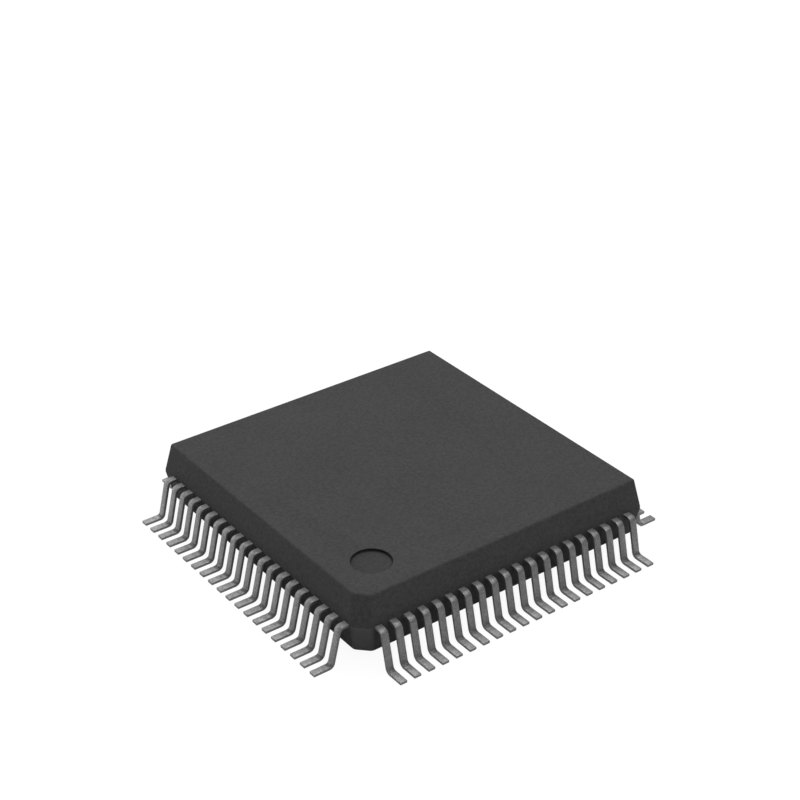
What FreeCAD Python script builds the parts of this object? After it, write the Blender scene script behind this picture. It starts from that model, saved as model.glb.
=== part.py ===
import FreeCAD, Part

import math
import os

from FreeCAD import Vector

# A quad flat pack: a moulded square body with a row of gull-wing leads on each of its four sides.
# The feet stand on the plane z = 0 and the origin lies under the middle of the body.
# Pin 1 is at the corner on the -X and -Y sides. The pins count up along the -Y side and go on
# round the body, anticlockwise seen from above. All lengths are in millimetres, angles in degrees.

# Rows of leads
leads_per_side = 20
lead_pitch = 0.65
lead_width = 0.31
lead_reach = 1.60
foot_length = 0.81
leg_lean = 13.2
bend_radius = 0.08
flats_per_bend = 3

# Sheet that leads, die pad and tie bars are stamped from, and its height above the seat
frame_thickness = 0.11
frame_height = 1.59

# Moulded body
row_end_margin = 0.825
body_height = 2.97
stand_off = 0.38
draft_angle = 10.5
mould_edge_round = 0.10
pin_one_chamfer = 0.50
dimple_diameter = 1.60
dimple_depth = 0.12
dimple_inset = 2.0

# Die on its layer of adhesive
die_width = 6.0
die_thickness = 0.35
adhesive_margin = 0.10
adhesive_thickness = 0.025

# Die pad with its tie bars, pressed down below the leads
die_pad_margin = 0.60
die_pad_downset = 0.20
tie_bar_width = 0.30
tie_bar_ramp = 0.40
tie_bar_cover = 0.20

# Inner ends of the leads, which fan in to a square row of tips round the die pad
finger_bend_inset = 0.25
finger_tip_gap = 0.60
finger_tip_width = 0.20
tip_row_margin = 0.59

# Bond wires from the rim of the die to the fingers
wire_thickness = 0.025
wire_pad_inset = 0.12
wire_row_margin = 0.435
wire_rise = 0.20
wire_landing = 0.15

# Widths and distances that follow from the sizes above
pitches_per_side = leads_per_side - 1
body_width = pitches_per_side * lead_pitch + 2 * row_end_margin
body_half = body_width / 2
tip_distance = body_half + lead_reach
adhesive_width = die_width + 2 * adhesive_margin
die_pad_width = die_width + 2 * die_pad_margin
finger_tip_distance = die_pad_width / 2 + finger_tip_gap
finger_tip_pitch = 2 * (finger_tip_distance - tip_row_margin) / pitches_per_side
wire_pad_pitch = (die_width - 2 * wire_row_margin) / pitches_per_side

# Heights that follow from the sizes above
frame_top = frame_height + frame_thickness
die_pad_bottom = frame_height - die_pad_downset
die_pad_top = die_pad_bottom + frame_thickness
die_bottom = die_pad_top + adhesive_thickness
die_top = die_bottom + die_thickness


def row_place(number, pitch):
    """Place of lead 1, 2, 3 ... along its row, for a row centred on the body."""
    return (number - 1 - pitches_per_side / 2) * pitch


def face_through(points):
    """Flat face with straight sides through the points."""
    return Part.Face(Part.makePolygon(points + [points[0]]))


def centred_block(width, bottom, thickness):
    """Square block with its middle on the Z axis."""
    return Part.makeBox(width, width, thickness, Vector(-width / 2, -width / 2, bottom))


def on_all_sides(shape):
    """The shape and its three copies, a quarter turn apart about the Z axis."""
    copies = []
    for quarter in range(4):
        turned = shape.copy()
        turned.rotate(Vector(0, 0, 0), Vector(0, 0, 1), 90 * quarter)
        copies.append(turned)
    return copies


def bent_run(points, radii):
    """Points of a run that turns at each inner point along an arc of the given radius.

    The arc is taken in a few equal flats, which lie within a few thousandths of its true line.
    """
    run = [points[0]]
    for before, corner, after, radius in zip(points, points[1:], points[2:], radii):
        arriving = (corner - before).normalize()
        leaving = (after - corner).normalize()
        turn = arriving.getAngle(leaving)
        arc_start = corner - arriving * (radius * math.tan(turn / 2))
        inward = (leaving - arriving * math.cos(turn)).normalize()
        for step in range(flats_per_bend + 1):
            angle = turn * step / flats_per_bend
            ahead = arriving * (radius * math.sin(angle))
            aside = inward * (radius * (1 - math.cos(angle)))
            run.append(arc_start + ahead + aside)
    return run + [points[-1]]


def gull_wing(place):
    """Part of a lead outside its inward bend: shoulder, leaning leg and flat foot.

    The side view is drawn first and then extruded over the width of the lead. The leg's outer
    face meets the foot's upper face at the foot's length from the tip.
    """
    lean = math.tan(math.radians(leg_lean))
    sheet_across_leg = frame_thickness / math.cos(math.radians(leg_lean))
    foot_start = tip_distance - foot_length
    shoulder_start = body_half - finger_bend_inset

    def leg_outer(height):
        return foot_start - (height - frame_thickness) * lean

    def leg_inner(height):
        return leg_outer(height) - sheet_across_leg

    upper = [
        Vector(0, -shoulder_start, frame_top),
        Vector(0, -leg_outer(frame_top), frame_top),
        Vector(0, -foot_start, frame_thickness),
        Vector(0, -tip_distance, frame_thickness),
    ]
    lower = [
        Vector(0, -tip_distance, 0),
        Vector(0, -leg_inner(0), 0),
        Vector(0, -leg_inner(frame_height), frame_height),
        Vector(0, -shoulder_start, frame_height),
    ]
    radii = [bend_radius + frame_thickness, bend_radius]
    side_view = face_through(bent_run(upper, radii) + bent_run(lower, radii))
    wing = side_view.extrude(Vector(lead_width, 0, 0))
    wing.translate(Vector(place - lead_width / 2, 0, 0))
    return wing


def finger(place, tip_place):
    """Part of a lead inside the body: it slants in from the row to its tip beside the die pad."""
    bend = body_half - finger_bend_inset
    outline = [
        Vector(place - lead_width / 2, -bend, frame_height),
        Vector(place + lead_width / 2, -bend, frame_height),
        Vector(tip_place + finger_tip_width / 2, -finger_tip_distance, frame_height),
        Vector(tip_place - finger_tip_width / 2, -finger_tip_distance, frame_height),
    ]
    return face_through(outline).extrude(Vector(0, 0, frame_thickness))


def lead(number):
    """One lead of the -Y side, stamped and bent from the sheet as one piece."""
    place = row_place(number, lead_pitch)
    tip_place = row_place(number, finger_tip_pitch)
    return gull_wing(place).fuse(finger(place, tip_place)).removeSplitter()


def bond_wire(number, landing_lead):
    """One wire: straight up from the rim of the die, then sloping down to its finger."""
    pad = Vector(row_place(number, wire_pad_pitch), wire_pad_inset - die_width / 2, die_top)
    landing_distance = finger_tip_distance + wire_landing
    landing = Vector(row_place(number, finger_tip_pitch), -landing_distance, frame_top)
    crest = pad + Vector(0, 0, wire_rise)
    below_landing = landing + (landing - crest).normalize() * wire_thickness
    along = Vector(landing.x - pad.x, landing.y - pad.y, 0).normalize() * (wire_thickness / 2)
    across = Vector(-along.y, along.x, 0)
    section = [pad + along + across, pad - along + across, pad - along - across, pad + along - across]
    path = Part.makePolygon([pad, crest, below_landing])
    sharp_corner = 1
    wire = path.makePipeShell([Part.makePolygon(section + [section[0]])], True, False, sharp_corner)
    return wire.cut(landing_lead)


def tie_bar():
    """Bar along a diagonal: flat on the pad, up a ramp, then level with the leads to the corner.

    It ends under cover of the moulding, behind the flat of the pin 1 corner or as far in as that.
    """
    pad_corner = die_pad_width / math.sqrt(2)
    bar_end = (body_width - pin_one_chamfer) / math.sqrt(2) - tie_bar_cover
    lower = [
        Vector(pad_corner - tie_bar_width, 0, die_pad_bottom),
        Vector(pad_corner, 0, die_pad_bottom),
        Vector(pad_corner + tie_bar_ramp, 0, frame_height),
        Vector(bar_end, 0, frame_height),
    ]
    upper = [point + Vector(0, 0, frame_thickness) for point in reversed(lower)]
    bar = face_through(lower + upper).extrude(Vector(0, tie_bar_width, 0))
    bar.translate(Vector(0, -tie_bar_width / 2, 0))
    bar.rotate(Vector(0, 0, 0), Vector(0, 0, 1), 45)
    return bar


def die_pad():
    """Square pad with a tie bar at each corner."""
    pad = centred_block(die_pad_width, die_pad_bottom, frame_thickness)
    return pad.fuse(on_all_sides(tie_bar())).removeSplitter()


def is_pin_one_edge(edge, depth):
    """True for the slanting edge on the -X and -Y corner of a half."""
    box = edge.BoundBox
    return box.ZLength > depth / 2 and box.XMax < 0 and box.YMax < 0


def mould_half(depth):
    """Half of the body above its parting land, which is at z = 0 here.

    Two drafted slabs at right angles give the square form. The pin 1 corner is cut off, and
    the rim of the flat face is rounded.
    """
    draw_in = depth * math.tan(math.radians(draft_angle))
    side_view = [
        Vector(-body_half, -body_half, 0),
        Vector(body_half, -body_half, 0),
        Vector(body_half - draw_in, -body_half, depth),
        Vector(-body_half + draw_in, -body_half, depth),
    ]
    slab = face_through(side_view).extrude(Vector(0, body_width, 0))
    other_slab = slab.copy()
    other_slab.rotate(Vector(0, 0, 0), Vector(0, 0, 1), 90)
    half = slab.common(other_slab)
    pin_one_edges = [edge for edge in half.Edges if is_pin_one_edge(edge, depth)]
    half = half.makeChamfer(pin_one_chamfer, pin_one_edges)
    rim = [edge for edge in half.Edges if edge.BoundBox.ZMin > depth / 2]
    return half.makeFillet(mould_edge_round, rim)


def moulded_form():
    """The moulded body before what it holds is taken out: two drafted halves and the land between."""
    upper = mould_half(body_height - frame_top)
    upper.translate(Vector(0, 0, frame_top))
    parting_face = min(upper.Faces, key=lambda face: face.CenterOfMass.z)
    land = parting_face.extrude(Vector(0, 0, -frame_thickness))
    lower = mould_half(frame_height - stand_off).mirror(Vector(0, 0, 0), Vector(0, 0, 1))
    lower.translate(Vector(0, 0, frame_height))
    dimple_place = dimple_inset - body_half
    dimple_floor = Vector(dimple_place, dimple_place, body_height - dimple_depth)
    dimple = Part.makeCylinder(dimple_diameter / 2, 2 * dimple_depth, dimple_floor)
    return upper.fuse([land, lower]).removeSplitter().cut(dimple)


def pin_numbers(number):
    """Numbers of the four leads that stand at the same place on the four sides."""
    pins = [number + side * leads_per_side for side in range(4)]
    return "_".join("%02d" % pin for pin in pins)


nodes = {}
form = moulded_form()
nodes["die_pad"] = die_pad()
nodes["die_adhesive"] = centred_block(adhesive_width, die_pad_top, adhesive_thickness)
nodes["silicon_die"] = centred_block(die_width, die_bottom, die_thickness)
for number in range(1, leads_per_side + 1):
    one_lead = lead(number)
    one_wire = bond_wire(number, one_lead)
    nodes["leads_" + pin_numbers(number)] = Part.makeCompound(on_all_sides(one_lead))
    nodes["bond_wires_" + pin_numbers(number)] = Part.makeCompound(on_all_sides(one_wire))

held = [solid for shape in nodes.values() for solid in shape.Solids]
nodes["moulded_body"] = form.cut(held)

os.makedirs("parts", exist_ok=True)
for name, shape in nodes.items():
    shape.exportStep(os.path.join("parts", name + ".step"))
    print(name, len(shape.Solids), "solids", round(shape.Volume, 4), "mm3", shape.isValid())
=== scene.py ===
import math

import bmesh
import bpy
from mathutils import Matrix, Quaternion, Vector


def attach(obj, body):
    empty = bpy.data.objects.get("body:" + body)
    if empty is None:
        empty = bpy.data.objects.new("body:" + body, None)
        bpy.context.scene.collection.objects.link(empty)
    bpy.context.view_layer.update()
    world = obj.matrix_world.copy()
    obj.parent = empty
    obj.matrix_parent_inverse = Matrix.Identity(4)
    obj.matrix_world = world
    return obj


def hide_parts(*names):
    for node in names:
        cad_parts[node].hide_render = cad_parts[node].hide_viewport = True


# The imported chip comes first. Forms are drawn in millimetres and become metres when they are done.
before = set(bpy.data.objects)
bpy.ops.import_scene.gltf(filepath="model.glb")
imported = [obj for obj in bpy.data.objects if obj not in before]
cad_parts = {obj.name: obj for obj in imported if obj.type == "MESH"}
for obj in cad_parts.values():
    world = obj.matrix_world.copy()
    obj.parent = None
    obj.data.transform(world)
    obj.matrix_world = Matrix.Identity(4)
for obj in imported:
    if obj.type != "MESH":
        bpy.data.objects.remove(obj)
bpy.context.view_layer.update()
millimetre = 0.001

# Points less than this far apart, in millimetres, are one point.
hair = 1e-4

# Leads. Eighty strips stamped from one sheet of copper alloy, 20 to a side, plated with matt tin.
# Each runs from a narrow tip beside the die out through the side of the body, where it is bent
# down into a leaning leg and out again into a flat foot.
leads_per_side = 20
lead_pitch = 0.65
lead_width = 0.31
sheet_thickness = 0.11
sheet_height = 1.59
sheet_top = sheet_height + sheet_thickness
body_half = 7.0
tip_distance = 8.6
foot_length = 0.81
leg_lean = math.radians(13.2)
inner_bend_radius = 0.15
finger_start = 4.20
finger_end = 6.75
finger_tip_pitch = 0.38
finger_tip_width = 0.20
steps_per_bend = 8
sheared_edge_round = 0.014
sheared_edge_angle = math.radians(50)

# Grey of the tin along a lead: the distance from the middle of the chip and the tone there.
# Its rise and fall is painted light and shade: painted shade at the heel and, just past it on the
# foot, a painted highlight as a bright line.
shoulder_tones = [(7.00, 0.312), (7.19, 0.305), (7.28, 0.265), (7.37, 0.282)]
leg_tones = [(7.47, 0.247), (7.72, 0.300), (7.775, 0.298)]
heel_painted_shade_tones = [(7.80, 0.150), (7.87, 0.150)]
painted_highlight_line_tones = [(7.97, 0.360), (8.02, 0.360)]
foot_tones = [(8.07, 0.280), (8.26, 0.325), (8.60, 0.322)]
tin_tones_with_painted_light = shoulder_tones + leg_tones + heel_painted_shade_tones + painted_highlight_line_tones + foot_tones
# Sheared sides and cut ends share one darker grey: partly the rough sheared metal, partly painted shade
# where the sides face each other between the leads.
sheared_grey_with_painted_shade = (0.205, 0.205, 0.205)


def parts_of_kind(geometry, kind):
    """The vertices, edges or faces among what a mesh operator gives back."""
    return [part for part in geometry if isinstance(part, kind)]


def drawn_on(form, end, move):
    """Draws the end face of a strip along a straight run. Returns the new end face."""
    new = bmesh.ops.extrude_face_region(form, geom=[end])["geom"]
    bmesh.ops.translate(form, vec=move, verts=parts_of_kind(new, bmesh.types.BMVert))
    bmesh.ops.delete(form, geom=[end], context="FACES_ONLY")
    return parts_of_kind(new, bmesh.types.BMFace)[0]


def bent_round(form, end, axis_distance, axis_height, turn):
    """Bends the strip on round a line that lies along its row. Returns the new end face."""
    new = bmesh.ops.spin(
        form, geom=[end], cent=(0, -axis_distance, axis_height), axis=(1, 0, 0),
        angle=turn, steps=steps_per_bend, use_duplicate=False,
    )["geom_last"]
    bmesh.ops.delete(form, geom=[end], context="FACES_ONLY")
    return parts_of_kind(new, bmesh.types.BMFace)[0]


def strip_section(form, place, width, distance):
    """Cross-section of a strip that runs outwards, as one face."""
    left, right = place - width / 2, place + width / 2
    corners = [(left, sheet_height), (right, sheet_height), (right, sheet_top), (left, sheet_top)]
    return form.faces.new([form.verts.new((x, -distance, z)) for x, z in corners])


def lead_form(place, tip_place):
    """One lead of the front row, from the tip of its finger to the tip of its foot."""
    form = bmesh.new()
    sheared = form.faces.layers.float.new("sheared")
    across = form.verts.layers.float.new("across")
    outward = form.verts.layers.float.new("outward")
    finger_tip = strip_section(form, tip_place, finger_tip_width, finger_start)
    new = bmesh.ops.extrude_face_region(form, geom=[finger_tip])["geom"]
    widened = parts_of_kind(new, bmesh.types.BMVert)
    bmesh.ops.scale(
        form, vec=(lead_width / finger_tip_width, 1, 1), verts=widened,
        space=Matrix.Translation((-tip_place, 0, 0)),
    )
    bmesh.ops.translate(form, vec=(place - tip_place, finger_start - finger_end, 0), verts=widened)
    end = parts_of_kind(new, bmesh.types.BMFace)[0]

    turn = math.pi / 2 - leg_lean
    outer_bend_radius = inner_bend_radius + sheet_thickness
    outer_tangent = outer_bend_radius * math.tan(turn / 2)
    inner_tangent = inner_bend_radius * math.tan(turn / 2)
    foot_start = tip_distance - foot_length
    upper_bend = foot_start - sheet_height * math.tan(leg_lean) - outer_tangent
    leg_run = sheet_height / math.cos(leg_lean) - outer_tangent - inner_tangent
    leg_step = (0, -leg_run * math.sin(leg_lean), -leg_run * math.cos(leg_lean))
    lower_bend = foot_start + inner_tangent

    end = drawn_on(form, end, (0, finger_end - upper_bend, 0))
    end = bent_round(form, end, upper_bend, sheet_height - inner_bend_radius, turn)
    end = drawn_on(form, end, leg_step)
    end = bent_round(form, end, lower_bend, outer_bend_radius, -turn)
    drawn_on(form, end, (0, lower_bend - tip_distance, 0))

    bmesh.ops.recalc_face_normals(form, faces=form.faces)
    for vertex in form.verts:
        vertex[across] = vertex.co.x - place
        vertex[outward] = -vertex.co.y
    for face in form.faces:
        is_cut_end = face.calc_center_median().y < hair - tip_distance
        is_side = abs(face.normal.x) > 0.5
        face[sheared] = float(is_cut_end or is_side)
    cut_edges = [edge for edge in form.edges if edge.calc_face_angle() > sheared_edge_angle]
    bmesh.ops.bevel(
        form, geom=cut_edges, offset=sheared_edge_round, offset_type="OFFSET", segments=2,
        profile=0.5, affect="EDGES", material=-1, clamp_overlap=True,
    )
    return form


def add_quarter_copies(form):
    """Adds the copies on the other three sides, going round the body with the pin numbers."""
    first = form.verts[:] + form.edges[:] + form.faces[:]
    for quarter in (1, 2, 3):
        copy = bmesh.ops.duplicate(form, geom=first)["geom"]
        bmesh.ops.rotate(
            form, cent=(0, 0, 0), matrix=Matrix.Rotation(quarter * math.pi / 2, 3, "Z"),
            verts=parts_of_kind(copy, bmesh.types.BMVert),
        )


def finished_piece(name, form, material, sharp_angle):
    """Makes a form that is drawn in millimetres an object in metres that rides on the chip."""
    bmesh.ops.scale(form, vec=(millimetre, millimetre, millimetre), verts=form.verts)
    mesh = bpy.data.meshes.new(name)
    form.to_mesh(mesh)
    form.free()
    mesh.shade_smooth()
    mesh.set_sharp_from_angle(angle=math.radians(sharp_angle))
    mesh.materials.append(material)
    piece = bpy.data.objects.new(name, mesh)
    bpy.context.scene.collection.objects.link(piece)
    even_shading = piece.modifiers.new("even_shading", "WEIGHTED_NORMAL")
    even_shading.keep_sharp = True
    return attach(piece, "root")


def new_group(name, inputs, outputs):
    """Shader node group with number inputs and outputs. Returns its tree and its two end nodes."""
    tree = bpy.data.node_groups.new(name, "ShaderNodeTree")
    for socket_name in inputs:
        tree.interface.new_socket(socket_name, in_out="INPUT", socket_type="NodeSocketFloat")
    for socket_name in outputs:
        tree.interface.new_socket(socket_name, in_out="OUTPUT", socket_type="NodeSocketFloat")
    return tree, tree.nodes.new("NodeGroupInput"), tree.nodes.new("NodeGroupOutput")


def noise(tree, vector, scale, detail):
    """Noise texture node, fed by a vector socket. The scale is a number or a socket."""
    node = tree.nodes.new("ShaderNodeTexNoise")
    node.inputs["Detail"].default_value = detail
    tree.links.new(vector, node.inputs["Vector"])
    if isinstance(scale, (int, float)):
        node.inputs["Scale"].default_value = scale
    else:
        tree.links.new(scale, node.inputs["Scale"])
    return node.outputs["Fac"]


def calculated(tree, operation, first, second):
    """Math node on two values, each a number or a socket."""
    node = tree.nodes.new("ShaderNodeMath")
    node.operation = operation
    for socket, value in zip(node.inputs, (first, second)):
        if isinstance(value, (int, float)):
            socket.default_value = value
        else:
            tree.links.new(value, socket)
    return node.outputs[0]


def spread(tree, value, low, high, from_low=0.3, from_high=0.7):
    """Carries a value over to run from low to high. Noise runs from about 0.3 to 0.7."""
    node = tree.nodes.new("ShaderNodeMapRange")
    tree.links.new(value, node.inputs["Value"])
    limits = {"From Min": from_low, "From Max": from_high, "To Min": low, "To Max": high}
    for limit_name, limit in limits.items():
        if isinstance(limit, (int, float)):
            node.inputs[limit_name].default_value = limit
        else:
            tree.links.new(limit, node.inputs[limit_name])
    return node.outputs["Result"]


def grain_group():
    """Fine grain and soft clouds, both 0 to 1, for sizes that are given in metres."""
    tree, given, result = new_group("grain", ["Grain Size", "Cloud Size"], ["Grain", "Clouds"])
    place = tree.nodes.new("ShaderNodeTexCoord").outputs["Object"]
    for size_name, result_name, detail in (("Grain Size", "Grain", 2), ("Cloud Size", "Clouds", 3)):
        scale = calculated(tree, "DIVIDE", 1.0, given.outputs[size_name])
        value = spread(tree, noise(tree, place, scale, detail), 0.0, 1.0)
        tree.links.new(value, result.inputs[result_name])
    return tree


grain = grain_group()


def new_material(name, **settings):
    """Material with one Principled BSDF, whose own sockets take the given constant values."""
    material = bpy.data.materials.new(name)
    material.use_nodes = True
    surface = material.node_tree.nodes["Principled BSDF"]
    for socket_name, value in settings.items():
        surface.inputs[socket_name.replace("_", " ")].default_value = value
    return material, material.node_tree, surface


def add_grain(tree, grain_size, cloud_size):
    """Places the grain group in a material. Returns its Grain and Clouds sockets."""
    node = tree.nodes.new("ShaderNodeGroup")
    node.node_tree = grain
    node.inputs["Grain Size"].default_value = grain_size * millimetre
    node.inputs["Cloud Size"].default_value = cloud_size * millimetre
    return node.outputs["Grain"], node.outputs["Clouds"]


def mixed(tree, factor, first, second, blend="MIX"):
    """Mixes two colours, each a colour value or a socket."""
    node = tree.nodes.new("ShaderNodeMix")
    node.data_type = "RGBA"
    node.blend_type = blend
    colour_a, colour_b = [socket for socket in node.inputs if socket.type == "RGBA"]
    if isinstance(factor, (int, float)):
        node.inputs[0].default_value = factor
    else:
        tree.links.new(factor, node.inputs[0])
    for socket, value in ((colour_a, first), (colour_b, second)):
        if isinstance(value, tuple):
            socket.default_value = (*value, 1)
        else:
            tree.links.new(value, socket)
    return [socket for socket in node.outputs if socket.type == "RGBA"][0]


def attribute(tree, name):
    """Number that the mesh carries under a name."""
    node = tree.nodes.new("ShaderNodeAttribute")
    node.attribute_name = name
    return node.outputs["Fac"]


def add_bump(tree, surface, height, depth):
    """Feeds a height of 0 to 1 to the surface's normal. The depth is in millimetres."""
    node = tree.nodes.new("ShaderNodeBump")
    node.inputs["Distance"].default_value = depth * millimetre
    node.inputs["Strength"].default_value = 1.0
    tree.links.new(height, node.inputs["Height"])
    tree.links.new(node.outputs["Normal"], surface.inputs["Normal"])


def tones_along(tree, place, tones):
    """Grey that changes along a length, given by pairs of a place and the tone there."""
    first, *between, last = tones
    ramp = tree.nodes.new("ShaderNodeValToRGB")
    stops = ramp.color_ramp.elements
    stops[0].color = (first[1], first[1], first[1], 1)
    stops[1].color = (last[1], last[1], last[1], 1)
    for stop_place, tone in between:
        stop = stops.new((stop_place - first[0]) / (last[0] - first[0]))
        stop.color = (tone, tone, tone, 1)
    tree.links.new(spread(tree, place, 0.0, 1.0, first[0], last[0]), ramp.inputs["Fac"])
    return ramp.outputs["Color"]


def tin_material():
    """Matt tin: fine crystals, soft clouds and faint rolling lines, with even sheared sides."""
    material, tree, surface = new_material("matt_tin", Metallic=1.0)
    crystals, clouds = add_grain(tree, 0.07, 0.5)
    line_place = tree.nodes.new("ShaderNodeCombineXYZ")
    tree.links.new(attribute(tree, "across"), line_place.inputs["X"])
    rolling_lines = noise(tree, line_place.outputs["Vector"], 45.0, 2)
    # The tone along the lead is painted light and shade: dark heel, bright line past it, graded legs.
    plated = tones_along(tree, attribute(tree, "outward"), tin_tones_with_painted_light)
    clouded = mixed(tree, clouds, (0.95, 0.95, 0.95), (1.05, 1.05, 1.05))
    speckled = mixed(tree, crystals, (0.83, 0.83, 0.83), (1.11, 1.11, 1.11))
    streaked = mixed(tree, spread(tree, rolling_lines, 0.0, 1.0), (0.95, 0.95, 0.95), (1.0, 1.0, 1.0))
    for marks in (clouded, speckled, streaked):
        plated = mixed(tree, 1.0, plated, marks, "MULTIPLY")
    # Sheared sides and cut ends take their darker grey, which partly carries painted shade.
    finish = mixed(tree, attribute(tree, "sheared"), plated, sheared_grey_with_painted_shade)
    tree.links.new(finish, surface.inputs["Base Color"])
    tree.links.new(spread(tree, crystals, 0.62, 0.52), surface.inputs["Roughness"])
    height = calculated(tree, "ADD", crystals, calculated(tree, "MULTIPLY", rolling_lines, 0.8))
    add_bump(tree, surface, height, 0.0015)
    return material


matt_tin = tin_material()
for number in range(1, leads_per_side + 1):
    from_middle = number - (leads_per_side + 1) / 2
    lead = lead_form(from_middle * lead_pitch, from_middle * finger_tip_pitch)
    add_quarter_copies(lead)
    pins = "_".join("%02d" % (number + side * leads_per_side) for side in range(4))
    leads = finished_piece("tinned_leads_" + pins, lead, matt_tin, sharp_angle=40)
    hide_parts("leads_" + pins)

# Die pad with its four tie bars. It is stamped from the same sheet as the leads, pressed down
# a little below them and left unplated, so it is bare rolled copper alloy.


def copper_material():
    """Bare copper alloy: rolling lines along one way of the sheet and a soft tarnish."""
    material, tree, surface = new_material("bare_copper_alloy", Metallic=1.0)
    pits, tarnish = add_grain(tree, 0.03, 1.8)
    place = tree.nodes.new("ShaderNodeMapping")
    place.inputs["Scale"].default_value = (1.0, 0.02, 1.0)
    tree.links.new(tree.nodes.new("ShaderNodeTexCoord").outputs["Object"], place.inputs["Vector"])
    lines = noise(tree, place.outputs["Vector"], 20000.0, 2)
    metal = mixed(tree, tarnish, (0.62, 0.36, 0.22), (0.50, 0.28, 0.18))
    tree.links.new(metal, surface.inputs["Base Color"])
    tree.links.new(spread(tree, lines, 0.30, 0.46), surface.inputs["Roughness"])
    add_bump(tree, surface, calculated(tree, "ADD", lines, pits), 0.001)
    return material


def finish_node(name, material):
    """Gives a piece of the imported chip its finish. Its form is right as it is."""
    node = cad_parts[name]
    node.data.materials.clear()
    node.data.materials.append(material)


finish_node("die_pad", copper_material())

# Adhesive. A thin printed layer of silver-filled paste, cured, holds the die on its pad.


def adhesive_material():
    """Cured paste: pale grey with flakes of silver in it."""
    material, tree, surface = new_material("silver_filled_paste", Metallic=0.35)
    flakes, clouds = add_grain(tree, 0.015, 0.4)
    paste = mixed(tree, flakes, (0.34, 0.34, 0.33), (0.55, 0.55, 0.54))
    tree.links.new(paste, surface.inputs["Base Color"])
    tree.links.new(spread(tree, clouds, 0.45, 0.65), surface.inputs["Roughness"])
    add_bump(tree, surface, flakes, 0.003)
    return material


finish_node("die_adhesive", adhesive_material())

# Die. A square sawn from a polished wafer of silicon, with its circuit under a glassy layer.


def silicon_material():
    """Polished silicon with blocks of circuit that differ a little in shade."""
    material, tree, surface = new_material("silicon", Metallic=0.6, Coat_Weight=0.5, Coat_Roughness=0.08)
    saw_marks, clouds = add_grain(tree, 0.02, 1.2)
    blocks = tree.nodes.new("ShaderNodeTexVoronoi")
    blocks.distance = "CHEBYCHEV"
    blocks.inputs["Scale"].default_value = 1400.0
    tree.links.new(tree.nodes.new("ShaderNodeTexCoord").outputs["Object"], blocks.inputs["Vector"])
    tone = tree.nodes.new("ShaderNodeSeparateColor")
    tree.links.new(blocks.outputs["Color"], tone.inputs["Color"])
    circuit = mixed(tree, tone.outputs["Red"], (0.10, 0.11, 0.13), (0.16, 0.17, 0.15))
    tree.links.new(mixed(tree, clouds, circuit, (0.12, 0.12, 0.16)), surface.inputs["Base Color"])
    tree.links.new(spread(tree, saw_marks, 0.18, 0.30), surface.inputs["Roughness"])
    add_bump(tree, surface, saw_marks, 0.0005)
    return material


finish_node("silicon_die", silicon_material())

# Bond wires. Eighty drawn gold wires, each welded to the rim of the die and to one finger.


def gold_material():
    """Drawn gold wire, bright with faint unevenness."""
    material, tree, surface = new_material("gold_wire", Metallic=1.0)
    marks, clouds = add_grain(tree, 0.01, 0.3)
    gold = mixed(tree, clouds, (0.83, 0.60, 0.25), (0.76, 0.53, 0.22))
    tree.links.new(gold, surface.inputs["Base Color"])
    tree.links.new(spread(tree, marks, 0.22, 0.34), surface.inputs["Roughness"])
    add_bump(tree, surface, marks, 0.0004)
    return material


gold_wire = gold_material()
for name in sorted(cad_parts):
    if name.startswith("bond_wires"):
        finish_node(name, gold_wire)

# Moulded body. Dark grey epoxy, pressed round all the rest in a two-part mould whose halves meet
# at the leads. Both halves taper away from there so that they let go. One corner is cut off and
# a shallow dimple stands beside it to mark pin 1. Spark erosion left the mould finely rough.
body_height = 2.97
body_bottom = 0.38
draft = math.radians(10.5)
pin_one_cut = 0.50
plain_corner_round = 0.07
cut_corner_round = 0.10
rim_round = 0.10
dimple_radius = 0.80
dimple_depth = 0.12
dimple_place = 2.0 - body_half
dimple_edge_round = 0.03
dimple_floor_round = 0.03
dimple_shade_width = 0.10
dimple_round_steps = 3
dimple_steps = 72

# Painted shade in the dimple, from 0 to 1. It is darkest under the rounded rim and fades down the
# wall, round its foot and over the edge of the floor; the whole floor stays a little darker.
wall_foot_shade = 0.8
floor_edge_shade = 0.5
floor_shade = 0.25


def add_half(form, end, height):
    """Draws one face of the parting land on into a drafted half that ends at the given height."""
    base = end.calc_center_median().z
    end = drawn_on(form, end, (0, 0, height - base))
    shrink = 1 - abs(height - base) * math.tan(draft) / body_half
    bmesh.ops.scale(form, vec=(shrink, shrink, 1), verts=end.verts)
    return end


def round_edges(form, edges, offset, segments):
    """Rounds edges, or cuts them off flat where one segment is asked for."""
    bmesh.ops.bevel(
        form, geom=edges, offset=offset, offset_type="OFFSET", segments=segments, profile=0.5,
        affect="EDGES", material=-1, clamp_overlap=True,
    )


def upright_edges(form, is_wanted):
    """Edges that run up the body and whose middle answers the question."""
    edges = []
    for edge in form.edges:
        low, high = edge.verts
        if abs(low.co.z - high.co.z) > sheet_thickness / 2 and is_wanted((low.co + high.co) / 2):
            edges.append(edge)
    return edges


def face_at(form, height):
    """The flat face of the body at a height."""
    return next(face for face in form.faces if abs(face.calc_center_median().z - height) < hair)


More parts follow.
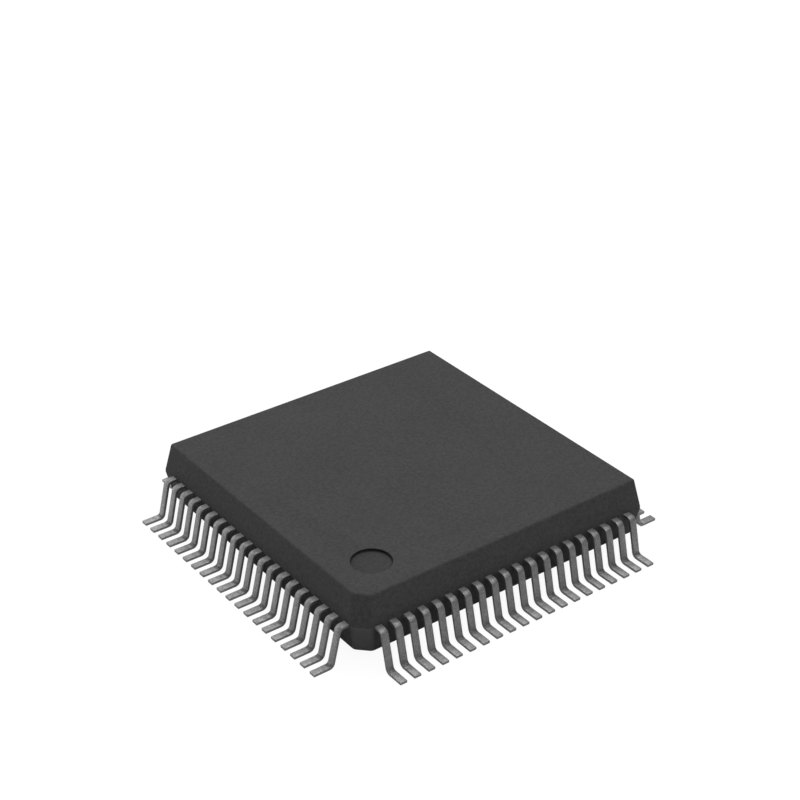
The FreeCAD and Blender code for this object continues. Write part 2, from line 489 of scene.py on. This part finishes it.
def dimple_profile():
    """Half section of the mark from its rim down to the middle of its floor, edges rounded.

    Each point is given as its distance from the middle, its height and its painted shade, 0 to 1.
    """
    floor_height = body_height - dimple_depth
    rim, foot = [], []
    for step in range(dimple_round_steps + 1):
        share = step / dimple_round_steps
        across, along = math.sin(share * math.pi / 2), math.cos(share * math.pi / 2)
        rim_reach, rim_drop = dimple_edge_round * (1 - across), dimple_edge_round * (1 - along)
        foot_reach, foot_rise = dimple_floor_round * (1 - along), dimple_floor_round * (1 - across)
        foot_shade = wall_foot_shade + share * (floor_edge_shade - wall_foot_shade)
        rim.append((dimple_radius + rim_reach, body_height - rim_drop, share))
        foot.append((dimple_radius - foot_reach, floor_height + foot_rise, foot_shade))
    shade_end = (dimple_radius - dimple_shade_width, floor_height, floor_shade)
    floor_middle = (0.0, floor_height, floor_shade)
    return rim + foot + [shade_end, floor_middle]


def add_dimple(form):
    """Sinks the round mark into the top and notes the painted shade on its points."""
    top = face_at(form, body_height)
    bmesh.ops.delete(form, geom=[top], context="FACES_ONLY")
    shade = form.verts.layers.float.new("shade")
    points = []
    for distance, height, darkness in dimple_profile():
        point = form.verts.new((dimple_place + distance, dimple_place, height))
        point[shade] = darkness
        points.append(point)
    lines = [form.edges.new(pair) for pair in zip(points, points[1:])]
    bmesh.ops.spin(
        form, geom=lines, cent=(dimple_place, dimple_place, 0), axis=(0, 0, 1),
        angle=2 * math.pi, steps=dimple_steps, use_merge=True, use_duplicate=False,
    )
    bmesh.ops.remove_doubles(form, verts=form.verts, dist=hair)
    open_edges = [edge for edge in form.edges if edge.is_boundary]
    bmesh.ops.triangle_fill(form, use_beauty=True, use_dissolve=False, edges=open_edges, normal=(0, 0, 1))


def body_form():
    """The outside of the body."""
    form = bmesh.new()
    bmesh.ops.create_cube(form, size=1)
    bmesh.ops.scale(form, vec=(2 * body_half, 2 * body_half, sheet_thickness), verts=form.verts)
    bmesh.ops.translate(form, vec=(0, 0, sheet_height + sheet_thickness / 2), verts=form.verts)
    add_half(form, face_at(form, sheet_top), body_height)
    add_half(form, face_at(form, sheet_height), body_bottom)
    bmesh.ops.recalc_face_normals(form, faces=form.faces)
    pin_one_edge = upright_edges(form, lambda middle: middle.x < 0 and middle.y < 0)
    round_edges(form, pin_one_edge, pin_one_cut, segments=1)
    cut_edges = upright_edges(form, lambda middle: middle.x < 0 and middle.y < 0)
    round_edges(form, cut_edges, cut_corner_round, segments=3)
    plain_edges = upright_edges(form, lambda middle: middle.x * middle.y < 0 or middle.x + middle.y > 0)
    round_edges(form, plain_edges, plain_corner_round, segments=3)
    rim_tangent = rim_round * math.tan((math.pi / 2 - draft) / 2)
    rims = list(face_at(form, body_height).edges) + list(face_at(form, body_bottom).edges)
    round_edges(form, rims, rim_tangent, segments=5)
    add_dimple(form)
    bmesh.ops.recalc_face_normals(form, faces=form.faces)
    # Painted light at the cut corner: a painted highlight on the parting land, and painted light from the
    # floor on the lower half.
    painted_corner_light = form.faces.layers.float.new("painted_corner_light")
    for face in form.faces:
        middle = face.calc_center_median()
        is_at_cut_corner = middle.x + middle.y < 2 * pin_one_cut - 2 * body_half
        if is_at_cut_corner and middle.z < sheet_top:
            face[painted_corner_light] = 1.0 if middle.z > sheet_height else 0.7
    return form


def epoxy_material():
    """Dark grey moulding compound with the fine grain that the mould gives it.

    The dimple carries painted shade, most of all round its wall, and its floor is a little darker.
    The lower half of the cut corner is a little paler with painted light from the floor below, and
    the parting land there carries a pale line of painted highlight.
    """
    material, tree, surface = new_material("moulding_compound")
    surface.inputs["Specular IOR Level"].default_value = 0.08
    pits, clouds = add_grain(tree, 0.045, 3.0)
    fine_pits, specks = add_grain(tree, 0.018, 0.12)
    compound = mixed(tree, clouds, (0.0600, 0.0600, 0.0600), (0.0648, 0.0648, 0.0648))
    grained = mixed(tree, specks, (0.83, 0.83, 0.83), (1.13, 1.13, 1.13))
    plain = mixed(tree, 1.0, compound, grained, "MULTIPLY")
    # Painted shade in the dimple, darkest round its wall; its whole floor is a little darker.
    darkened = mixed(tree, attribute(tree, "shade"), plain, (0.018, 0.018, 0.018))
    # Painted light at the cut corner: paler lower half and a pale line on the parting land.
    corner_lit = mixed(tree, attribute(tree, "painted_corner_light"), darkened, (0.090, 0.090, 0.090))
    tree.links.new(corner_lit, surface.inputs["Base Color"])
    tree.links.new(spread(tree, pits, 0.76, 0.88), surface.inputs["Roughness"])
    add_bump(tree, surface, calculated(tree, "ADD", pits, fine_pits), 0.004)
    return material


body = finished_piece("epoxy_body", body_form(), epoxy_material(), sharp_angle=30)
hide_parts("moulded_body")

# Floor. A plain pale table. To the eye and in the metal it glows up to white, and it takes the
# chip's shadow. It is seen through from below, so that the underside of the chip can be looked at.
# Distances of the floor are in metres.
floor_half = 2.0
floor_colour = (0.85, 0.85, 0.85)
seen_colour = (0.09, 0.09, 0.09)
mirrored_glow = 0.15
near_distance, near_glow = 0.03, 0.94
far_distance, far_glow = 0.20, 1.0


def floor_material():
    """Pale matt surface that also glows to the camera, to metal and to glass.

    To the camera and through glass it is nearly all glow, so that its shadow is faint. To metal
    it keeps its matt grey and glows only as much as that falls short of white.
    """
    material = bpy.data.materials.new("floor")
    material.use_nodes = True
    tree = material.node_tree
    tree.nodes.remove(tree.nodes["Principled BSDF"])
    rays = tree.nodes.new("ShaderNodeLightPath")
    direct = calculated(tree, "MAXIMUM", rays.outputs["Is Camera Ray"], rays.outputs["Is Transmission Ray"])
    matt = tree.nodes.new("ShaderNodeBsdfDiffuse")
    tree.links.new(mixed(tree, direct, floor_colour, seen_colour), matt.inputs["Color"])
    distance = tree.nodes.new("ShaderNodeVectorMath")
    distance.operation = "LENGTH"
    tree.links.new(tree.nodes.new("ShaderNodeTexCoord").outputs["Object"], distance.inputs[0])
    from_chip = distance.outputs["Value"]
    seen_glow = spread(tree, from_chip, near_glow, far_glow, near_distance, far_distance)
    glow_to_eye = calculated(tree, "MULTIPLY", direct, seen_glow)
    glow_to_metal = calculated(tree, "MULTIPLY", rays.outputs["Is Glossy Ray"], mirrored_glow)
    white = tree.nodes.new("ShaderNodeEmission")
    tree.links.new(calculated(tree, "ADD", glow_to_eye, glow_to_metal), white.inputs["Strength"])
    clear = tree.nodes.new("ShaderNodeBsdfTransparent")
    lit = tree.nodes.new("ShaderNodeAddShader")
    tree.links.new(matt.outputs[0], lit.inputs[0])
    tree.links.new(white.outputs[0], lit.inputs[1])
    one_sided = tree.nodes.new("ShaderNodeMixShader")
    backside = tree.nodes.new("ShaderNodeNewGeometry").outputs["Backfacing"]
    tree.links.new(backside, one_sided.inputs["Fac"])
    tree.links.new(lit.outputs[0], one_sided.inputs[1])
    tree.links.new(clear.outputs[0], one_sided.inputs[2])
    tree.links.new(one_sided.outputs[0], tree.nodes["Material Output"].inputs["Surface"])
    return material


floor_form = bmesh.new()
bmesh.ops.create_grid(floor_form, x_segments=1, y_segments=1, size=floor_half)
floor_mesh = bpy.data.meshes.new("floor")
floor_form.to_mesh(floor_mesh)
floor_form.free()
floor_mesh.materials.append(floor_material())
floor = bpy.data.objects.new("floor", floor_mesh)
bpy.context.scene.collection.objects.link(floor)

# Studio light. A dim even surround, and soft lamps at a plain level.
world = bpy.data.worlds.new("studio")
world.use_nodes = True
surround = world.node_tree.nodes["Background"]
surround.inputs["Color"].default_value = (1, 1, 1, 1)
surround.inputs["Strength"].default_value = 0.05
bpy.context.scene.world = world


def soft_lamp(name, place, width, power):
    """Square lamp, in metres and watts, that faces the chip."""
    light = bpy.data.lights.new(name, "AREA")
    light.size = width
    light.energy = power
    lamp = bpy.data.objects.new(name, light)
    lamp.location = place
    lamp.rotation_mode = "QUATERNION"
    lamp.rotation_quaternion = (-Vector(place)).to_track_quat("-Z", "Y")
    bpy.context.scene.collection.objects.link(lamp)


soft_lamp("overhead_lamp", (0.0, 0.0, 0.17), 0.13, 0.0894)
soft_lamp("back_lamp", (-0.0222, 0.1582, 0.0581), 0.13, 0.1178)
soft_lamp("back_right_lamp", (0.0587, 0.0779, 0.1393), 0.13, 0.1014)
soft_lamp("right_lamp", (0.0966, 0.0136, 0.1393), 0.13, 0.0463)
soft_lamp("front_lamp", (0.0136, -0.0966, 0.1393), 0.13, 0.0915)
soft_lamp("left_lamp", (-0.119, 0.119, 0.026), 0.05, 0.041)

# Camera, at the photograph's place and angle.
camera_place = Vector((-0.0372354, -0.0501245, 0.0422475))
camera_aim = Vector((0.0015628, 0.002014, 0.0043734))
camera_roll = math.radians(-0.1066)
camera_data = bpy.data.cameras.new("camera")
camera_data.sensor_width = 36.0
camera_data.lens = 81.288
camera_data.clip_start = 0.001
camera_data.clip_end = 10.0
camera = bpy.data.objects.new("camera", camera_data)
camera.location = camera_place
camera.rotation_mode = "QUATERNION"
level_view = (camera_aim - camera_place).to_track_quat("-Z", "Y")
camera.rotation_quaternion = level_view @ Quaternion((0, 0, 1), camera_roll)
bpy.context.scene.collection.objects.link(camera)
bpy.context.scene.camera = camera
bpy.context.scene.view_settings.view_transform = "Standard"
